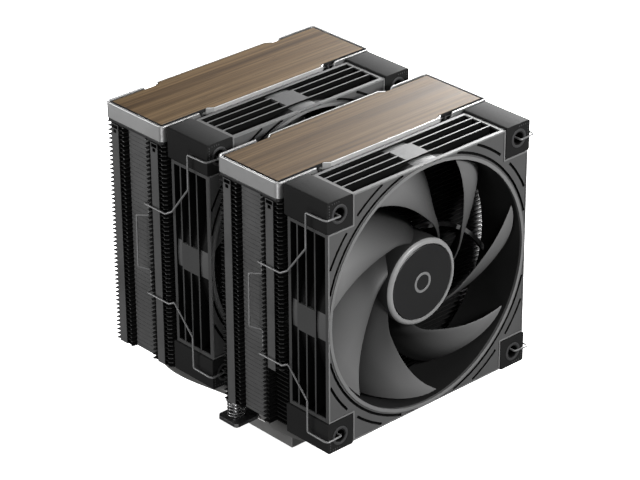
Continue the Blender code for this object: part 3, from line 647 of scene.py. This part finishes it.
def blade(tip_deg, nr=26, nc=20):
    bm = bmesh.new()
    rings = []
    for i in range(nr):
        q = i/(nr-1)
        r = 19.8+(56.3-19.8)*q
        d0 = 8.0-4.9*q**0.8
        d1 = 20.6-0.4*q
        sweep = 40.0
        law = 1.25+0.5*q
        th = (1.35-0.55*q)
        prof = []
        for s in (1, -1):
            js = range(nc+1) if s == 1 else range(nc-1, 0, -1)
            for j in js:
                t = 0.5-0.5*math.cos(math.pi*j/nc)
                half = th*0.5*(2.6*math.sqrt(max(t, 0))*(1-t)+0.42*t*(1.0-0.55*t)+0.10)
                half = half if 0 < j < nc else 0.0
                d = d0+(d1-d0)*t**law
                ang = math.radians(tip_deg+lead(r)-sweep*t)
                prof.append((r, ang, d-s*half))
        rings.append([bm.verts.new((rr*math.cos(a), dd, rr*math.sin(a))) for rr, a, dd in prof])
    m = len(rings[0])
    for A, B in zip(rings, rings[1:]):
        for j in range(m):
            k = (j+1) % m
            bm.faces.new((A[j], A[k], B[k], B[j]))
    # close root and tip with strips between the two faces
    for ring in (rings[0], rings[-1]):
        for j in range(nc//1):
            a, b = j, j+1
            c, d = (m-b) % m, (m-a) % m
            q = []
            for i in (a, b, c, d):
                if ring[i % m] not in q:
                    q.append(ring[i % m])
            if len(q) > 2:
                bm.faces.new(q)
    bmesh.ops.recalc_face_normals(bm, faces=bm.faces)
    return bm

def strut(a0, w, sgn=1):
    pts = []
    for i in range(13):
        r = 17.5+(57.9-17.5)*i/12
        ang = a0-58.0*(max(r-18.5, 0)/36.9)**0.66
        pts.append(Vector((r*math.cos(math.radians(ang)), r*math.sin(math.radians(ang)))))
    L, R = [], []
    for i, p in enumerate(pts):
        t = (pts[min(i+1, 12)]-pts[max(i-1, 0)]).normalized()
        nrm = Vector((-t.y, t.x))
        L.append(tuple(p+nrm*w))
        R.append(tuple(p-nrm*w))
    return R+list(reversed(L))

def fan(pre, body, y0):
    N = 128
    n, F = 45.3, 59.55
    rim = 0.75
    out = [(n, F), (-n, F), (-n, n), (-F, n), (-F, -n), (-n, -n), (-n, -F), (n, -F), (n, -n), (F, -n), (F, n), (n, n)]
    def inset(e):
        m, G = n-e, F-e
        return [(m, G), (-m, G), (-m, m), (-G, m), (-G, -m), (-m, -m), (-m, -G), (m, -G), (m, -m), (G, -m), (G, m), (m, m)]
    loops = {"out": out, "field": inset(rim), "duct": circle(58.75, N), "bore": circle(57.5, N), "lip": circle(59.1, N)}
    for i, a in enumerate((45, 135, 225, 315)):
        loops["gr%d" % i] = arc_band(59.9, 61.1, a-29.6, a+29.6, 24)
        loops["gs%d" % i] = arc_band(64.0, 65.2, a-19.2, a-3.7, 10)
        loops["gt%d" % i] = arc_band(64.0, 65.2, a+3.7, a+19.2, 10)
        sx, sz = ((1, 1), (-1, 1), (-1, -1), (1, -1))[i]
        loops["core%d" % i] = rect(sx*40.6, sz*40.6, sx*n, sz*n)
        loops["brk%d" % i] = rect(sx*(n-1.6), sz*n, sx*n, sz*F)
        loops["brs%d" % i] = rect(sx*n, sz*(n-1.6), sx*F, sz*n)
        loops["arm%d" % i] = strut(50.0+90*i, 0.95)
    loops["bridgeT"] = rect(-6.5, 57.0, 6.5, F)
    loops["bridgeB"] = rect(-6.5, -F, 6.5, -57.0)
    loops["bridgeR"] = rect(57.0, -6.5, F, 6.5)
    loops["bridgeL"] = rect(-F, -6.5, -57.0, 6.5)
    loops["seat"] = circle(20.3, 64)
    def has(k, *w):
        return any(s.startswith(w) for s in k)
    def solid(k):
        return "out" in k and "bore" not in k
    def lips(k):
        return solid(k) and ("field" not in k or "lip" in k)
    def face(k):
        return solid(k) and not (has(k, "gr", "gs", "gt") and "field" in k)
    def open_(k):
        return ("duct" in k and "bore" not in k) or (has(k, "core", "brk", "brs") and "bore" not in k and "out" in k)
    def mid(k):
        return open_(k) or (has(k, "bridge") and "bore" not in k and "out" in k)
    def rear(k):
        return solid(k) or has(k, "arm") or "seat" in k
    def arms(k):
        return open_(k) or has(k, "arm") or "seat" in k
    levels = [0.45, 0.80, 1.7, 2.3, 8.3, 9.15, 13.7, 14.55, 19.1, 19.95, 22.9, 23.7, 25.4]
    rules = [lips, face, solid, open_, solid, mid, solid, mid, solid, open_, arms, rear]
    bm = slabs(loops, levels, rules)
    bm.normal_update()
    for f in bm.faces:
        c = f.calc_center_median()
        rad = math.hypot(c.x, c.y)
        if abs(f.normal.x) > 0.9 and abs(c.x) > 59.0:
            f.material_index = 4                      # outer side faces: darker copy of the frame plastic, painted shade
        elif c.y > 58.8 and f.normal.y > 0.9 and abs(c.x) < 6.6:
            f.material_index = 5                      # plate across the top vents: darker copy of the frame plastic, painted shade
        elif c.z < 0.5 and f.normal.z < -0.5:
            f.material_index = 1                      # raised lips on the front face, a lighter copy of the frame plastic: painted highlight
        elif c.z < 1.75 and 0.46 < c.z and (59.85 < rad < 61.15 or 63.95 < rad < 65.25) and max(abs(c.x), abs(c.y)) < 58.8 and (c.z > 0.9 or abs(f.normal.z) < 0.5):
            f.material_index = 2                      # floors of the grooves: near-black copy of the frame plastic, painted shade
        elif 1.72 < c.z < 23.68 and rad > 58.0 and abs(f.normal.z) < 0.3 and max(abs(c.x), abs(c.y)) < 59.0 and not (abs(c.x) > 56.8 and abs(c.y) < 6.6 or abs(c.y) > 56.8 and abs(c.x) < 6.6):
            f.material_index = 2                      # duct wall behind the side slots: near-black copy of the frame plastic, painted shade
        elif c.z > 1.4 and rad < 57.7 and abs(f.normal.z) < 0.3 and rad > 56.9:
            f.material_index = 3                      # bore wall: darker copy of the frame plastic, painted shade
        elif 1.65 < c.z < 23.75 and rad > 58.0 and abs(f.normal.z) > 0.9 and max(abs(c.x), abs(c.y)) < 59.6:
            f.material_index = 2                      # faces of the ribs between the slots: near-black copy of the frame plastic, painted shade
    along_y(bm, y0, FAN_Z)
    link(pre+"_shell", bm, [M["frame"], M["frame_lip"], M["recess"], M["bore"], M["frame_side"], M["frame_top"]], body, [pre+"_frame"], bevel=0.13, segs=2, bevel_angle=35, smooth=30)

    # corner pads
    for i, nm in enumerate(("top_right", "top_left", "bottom_left", "bottom_right")):
        sx, sz = ((1, 1), (-1, 1), (-1, -1), (1, -1))[i]
        a, b = 45.62, 60.28
        loops = {"pad": rounded_rect(min(sx*a, sx*b), min(sz*a, sz*b), max(sx*a, sx*b), max(sz*a, sz*b), 0.9, 4),
                 "hole": circle(2.75, 36, sx*HOLE, sz*HOLE), "r0": circle(3.35, 40, sx*HOLE, sz*HOLE), "r1": circle(4.35, 40, sx*HOLE, sz*HOLE)}
        def block(k):
            return "pad" in k and "hole" not in k
        def ringed(k):
            return "pad" in k and "hole" not in k and ("r1" not in k or "r0" in k)
        def ring_only(k):
            return "r1" in k and "r0" not in k
        bm = slabs(loops, [0.28, 26.7], [block])
        for f in bm.faces:
            c = f.calc_center_median()
            if abs(f.normal.z) < 0.3 and math.hypot(c.x-sx*HOLE, c.y-sz*HOLE) < 2.8:
                f.material_index = 1
        along_y(bm, y0, FAN_Z)
        link("%s_rubber_%s" % (pre, nm), bm, [M["rubber"], M["pad_hole"]], body, ["%s_pad_%s" % (pre, nm)], bevel=0.45, segs=3, bevel_angle=50, smooth=35)
        # raised ring round the hole, and the dotted grip marks at the outer corner, in a lighter copy of the pad
        # rubber: painted highlight
        ring = turned([(3.25, 0.5), (3.25, 0.12), (3.45, 0.02), (4.2, 0.02), (4.4, 0.12), (4.4, 0.5)], 48, "Y", (sx*HOLE, y0, FAN_Z+sz*HOLE))
        for k in range(5):
            for dx, dz in ((1.7+1.25*k, 1.3), (1.3, 1.7+1.25*k)):
                if k == 0 and dx != 1.3:
                    continue
                x, z = sx*(b-dx), FAN_Z+sz*(b-dz)
                if math.hypot(x-sx*HOLE, z-FAN_Z-sz*HOLE) < 4.9:
                    continue
                dot = bmesh.new()
                bmesh.ops.create_cube(dot, size=1.0)
                for v in dot.verts:
                    top = 0.62 if v.co.y < 0 else 1.0
                    v.co = Vector((x+v.co.x*0.55*top, y0+0.22+v.co.y*0.28, z+v.co.z*0.75*top))
                merge_into(ring, dot)
        link("%s_rubber_%s_marks" % (pre, nm), ring, M["rubber_ring"], body, smooth=35)

    rot = body+"_rotor"
    axis = (0, y0, FAN_Z)
    # impeller
    prof = [(1.75, 6.15), (1.75, 8.2), (18.3, 8.2), (18.3, 20.4), (20.3, 20.4), (20.3, 7.3)]
    for i in range(9):
        q = math.radians(90*i/8)
        prof.append((18.05+2.25*math.cos(q)**0.8 if i < 8 else 18.05, 7.1-2.45*math.sin(q)**0.9))
    prof += [(17.75, 5.2), (17.75, 6.15)]
    bm = turned(prof, 96, "Y", axis)
    bl = bmesh.new()
    for b in range(7):
        merge_into(bl, blade(20.6-360.0/7*b))
    for v in bl.verts:
        v.co += Vector(axis)
    # the hub's front bevel ring gets a lighter copy of the rotor plastic: painted highlight
    bm.normal_update()
    for f in bm.faces:
        c = f.calc_center_median()
        if c.y-y0 < 6.1 and math.hypot(c.x, c.z-FAN_Z) > 17.6:
            f.material_index = 1
    merge_into(bm, bl)
    link(pre+"_rotor", bm, [M["rotor"], M["hub_ring"]], rot, [pre+"_impeller"], smooth=38)
    bm = turned([(0, 4.72), (17.2, 4.72), (17.45, 4.95), (17.45, 5.8), (0, 5.8)], 96, "Y", axis)
    link(pre+"_cap", bm, M["hub"], rot, [pre+"_hub_cap"], smooth=30)
    bm = turned([(3.7, 4.60), (4.8, 4.60), (4.85, 4.66), (4.85, 4.74), (3.65, 4.74), (3.65, 4.66)], 64, "Y", axis)
    link(pre+"_cap_ring", bm, M["emblem"], rot, smooth=30)
    # motor
    link(pre+"_core", turned([(4.3, 10.4), (15.8, 10.4), (15.8, 19.6), (9.0, 19.6), (9.0, 22.6), (4.3, 22.6)], 48, "Y", axis), M["copper"], body, [pre+"_stator"], smooth=35)
    link(pre+"_tube", turned([(1.75, 9.4), (4.0, 9.4), (4.0, 22.6), (1.75, 22.6)], 32, "Y", axis), M["brass"], body, [pre+"_bearing"], smooth=35)
    link(pre+"_axle", turned([(0, 6.2), (1.2, 6.2), (1.42, 6.4), (1.42, 22.2), (0, 22.4)], 24, "Y", axis), M["steel"], rot, [pre+"_shaft"], smooth=35)

# lighter copy of the pad rubber for the hole rings and grip marks: painted highlight
M["rubber_ring"] = speckled("pad_ring_rubber", (0.045, 0.045, 0.046), 0.50, 2600, 0.15, var=0.04, rvar=0.03)
fan("front_fan", "front_fan", FAN_Y)
fan("middle_fan", "middle_fan", FAN_Y+PITCH)

# ------------------------------------------------------------------ wire clips
def clip_path(sx, y0):
    xh = HOLE+0.3
    def p(x, d, z):
        return (sx*x, y0+d, z)
    return [p(xh, 5.0, 152.6), p(xh, -0.9, 152.6), p(61.3, -0.95, 152.9), p(62.0, 0.6, 152.9), p(62.0, 11.4, 152.6), p(62.0, 11.6, 135.8),
            p(62.1, 23.0, 121.0), p(63.0, 26.6, 118.9), p(63.1, 41.0, 118.9), p(60.5, 41.3, 118.6), p(60.45, 41.3, 112.0),
            p(63.3, 46.6, 111.2), p(63.3, 46.9, 85.2), p(60.45, 41.3, 84.6), p(60.45, 41.3, 74.6), p(60.5, 41.3, 74.2), p(63.1, 41.0, 74.0), p(63.0, 26.2, 74.0), p(62.1, 23.4, 75.4),
            p(62.0, 11.5, 62.6), p(62.0, 11.5, 46.8), p(62.0, 0.6, 46.6), p(61.3, -0.95, 46.6), p(xh, -0.9, 46.9), p(xh, 5.0, 46.9)]

for pre, y0 in (("front_fan", FAN_Y), ("middle_fan", FAN_Y+PITCH)):
    for sx, side in ((-1, "left"), (1, "right")):
        nm = "%s_clip_%s" % (pre, side)
        link(nm+"_wire", swept(rounded_path(clip_path(sx, y0), 0.9, 5), 0.45, 14, True), M["wire"], nm, [nm], smooth=50)

# ------------------------------------------------------------------ base, bar and spring screws
def groove_pts(z_flat, up):
    rg = 3.2
    pts = []
    for cx in sorted([s*x for x in (3.45, 10.35, 17.25) for s in (1, -1)]):
        a = math.asin(max(-1, min(1, (z_flat-6.2)/rg)))
        a0, a1 = (math.pi-a, a) if up else (math.pi-a, 2*math.pi+a)
        for i in range(17):
            t = a0+(a1-a0)*i/16
            pts.append((cx+rg*math.cos(t), 6.2+rg*math.sin(t)))
    return pts

def upright(bm):
    for v in bm.verts:
        x, z, y = v.co
        v.co = Vector((x, y, z))
    bmesh.ops.reverse_faces(bm, faces=bm.faces)

low = [(-25, 0), (25, 0), (25, 5.9)] + list(reversed(groove_pts(5.9, False))) + [(-25, 5.9)]
bm = slabs({"p": low}, [-22.4, 22.4], [lambda k: "p" in k])
upright(bm)
link("base_plate", bm, M["plate"], "root", ["cold_plate"], bevel=0.35, bevel_angle=60)
top = [(-24, 6.3)] + groove_pts(6.3, True) + [(24, 6.3), (24, 11.3), (-24, 11.3)]
bm = slabs({"p": top}, [-12.0, 12.0], [lambda k: "p" in k])
upright(bm)
link("pipe_clamp", bm, M["plate"], "root", ["base_clamp"], bevel=0.35, bevel_angle=60)

right = [(22.0, -9.0), (27.5, -9.0), (30.0, -5.4), (31.6, -5.4), (31.6, -6.8), (43.4, -6.8), (45.0, -5.2), (45.0, 5.2), (43.4, 6.8), (31.6, 6.8), (31.6, 5.4), (30.0, 5.4), (27.5, 9.0), (22.0, 9.0)]
loops = {"bar": right+[(-x, -y) for x, y in right], "h1": circle(2.65, 32, 39.0, 0), "h2": circle(2.65, 32, -39.0, 0)}
bm = slabs(loops, [11.6, 13.6], [lambda k: "bar" in k and "h1" not in k and "h2" not in k])
link("crossbar", bm, M["black_steel"], "root", ["mounting_crossbar"], bevel=0.25, segs=3, bevel_angle=30)

for sx, nm in ((-1, "left"), (1, "right")):
    at = (sx*39.0, 0, 0)
    prof = [(0, 7.6), (1.5, 7.6), (1.85, 8.0)]
    # thread ridges on the tip, then captive ring, shaft and head with a socket
    for i in range(4):
        z = 8.1+0.5*i
        prof += [(1.88, z), (1.62, z+0.25)]
    prof += [(1.88, 10.25), (2.9, 10.32), (2.9, 11.18), (1.88, 11.2), (1.88, 23.4), (3.8, 23.4), (3.98, 23.6), (3.98, 27.4), (3.3, 28.15), (1.7, 28.15), (1.6, 28.0), (1.6, 25.6), (0, 25.6)]
    link("spring_screw_"+nm, turned(prof, 48, "Z", at), M["steel"], "screw_"+nm, ["screw_"+nm], smooth=35)
    link("spring_washer_"+nm, turned([(2.2, 21.75), (4.4, 21.75), (4.58, 21.95), (4.58, 22.8), (4.4, 22.98), (2.2, 22.98)], 48, "Z", at), M["steel"], "screw_washer_"+nm, ["screw_washer_"+nm], smooth=35)
    pts = []
    turns, per = 4.6, 28
    total = int(turns*per)
    for i in range(total+1):
        t = i/total
        f = 0.5-0.5*math.cos(math.pi*t)
        z = 14.32+(21.0-14.32)*(0.5*t+0.5*f)
        q = 2*math.pi*turns*t
        pts.append((sx*39.0+3.85*math.cos(q), 3.85*math.sin(q), z))
    ob = link("coil_"+nm, swept(pts, 0.38, 12, True), M["coil"], "root", ["spring_"+nm], smooth=50)
    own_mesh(ob)

# ------------------------------------------------------------------ stage, lights and camera
def plane(name, size, z):
    bm = bmesh.new()
    bmesh.ops.create_grid(bm, x_segments=1, y_segments=1, size=size)
    me = bpy.data.meshes.new(name)
    bm.to_mesh(me)
    bm.free()
    ob = bpy.data.objects.new(name, me)
    ob.location.z = z
    bpy.context.scene.collection.objects.link(ob)
    return ob

floor = plane("floor", 6.0, -0.0006)
fm = Mat("floor_paint", (0.92, 0.92, 0.92), 0.6)
fm.put("Roughness", fm.remap(fm.noise(3.0, 2), 0.3, 0.7, 0.55, 0.65))
fm.b.inputs["Emission Color"].default_value = (1, 1, 1, 1)
fm.b.inputs["Emission Strength"].default_value = 0.9
floor.visible_diffuse = False
floor.visible_glossy = False
floor.visible_shadow = False
floor.data.materials.append(fm.m)
bpy.context.scene.view_settings.view_transform = "Standard"

world = bpy.data.worlds.new("studio")
bpy.context.scene.world = world
world.use_nodes = True
world.node_tree.nodes["Background"].inputs[0].default_value = (1, 1, 1, 1)
world.node_tree.nodes["Background"].inputs[1].default_value = 0.06

def area(name, at, to, size, power, size_y=None):
    L = bpy.data.lights.new(name, "AREA")
    L.energy = power
    L.size = size
    if size_y:
        L.shape = "RECTANGLE"
        L.size_y = size_y
    ob = bpy.data.objects.new(name, L)
    ob.location = at
    ob.rotation_mode = "QUATERNION"
    ob.rotation_quaternion = (Vector(to)-Vector(at)).to_track_quat("-Z", "Y")
    ob.visible_camera = False
    bpy.context.scene.collection.objects.link(ob)
    return ob

C = (0, -0.015, 0.09)
area("far_right", (0.50, 0.22, 0.31), (0.03, 0.0, 0.155), 0.24, 8.6)
area("overhead", (0.0, 0.1, 1.5), C, 1.0, 4.0)
area("front_key", (0.12, -0.66, 0.46), (-0.01, -0.085, 0.11), 0.14, 5.2)
area("near_key", (-0.30, -0.55, 0.42), (-0.02, -0.085, 0.11), 0.20, 0.4)
area("left_back", (-0.7, 0.6, 0.2), C, 0.4, 3.6)
area("left", (-1.0, 0.10, 0.35), C, 0.4, 1.5)
area("low_left", (-0.50, -0.30, -0.22), (-0.03, -0.01, 0.02), 0.25, 0.9)

cam_data = bpy.data.cameras.new("camera")
cam_data.lens = 158.8
cam_data.sensor_width = 36.0
cam_data.dof.use_dof = False
cam = bpy.data.objects.new("camera", cam_data)
r = Vector((0.736007, -0.676944, -0.006305))
u = Vector((0.315512, 0.334771, 0.887908))
b = Vector((-0.598953, -0.655496, 0.459978))
m = Matrix((r, u, b)).transposed().to_4x4()
m.translation = Vector((-0.75998, -0.84660, 0.67925))
cam.matrix_world = m
cam_data.clip_start = 0.05
cam_data.clip_end = 20
bpy.context.scene.collection.objects.link(cam)
bpy.context.scene.camera = cam
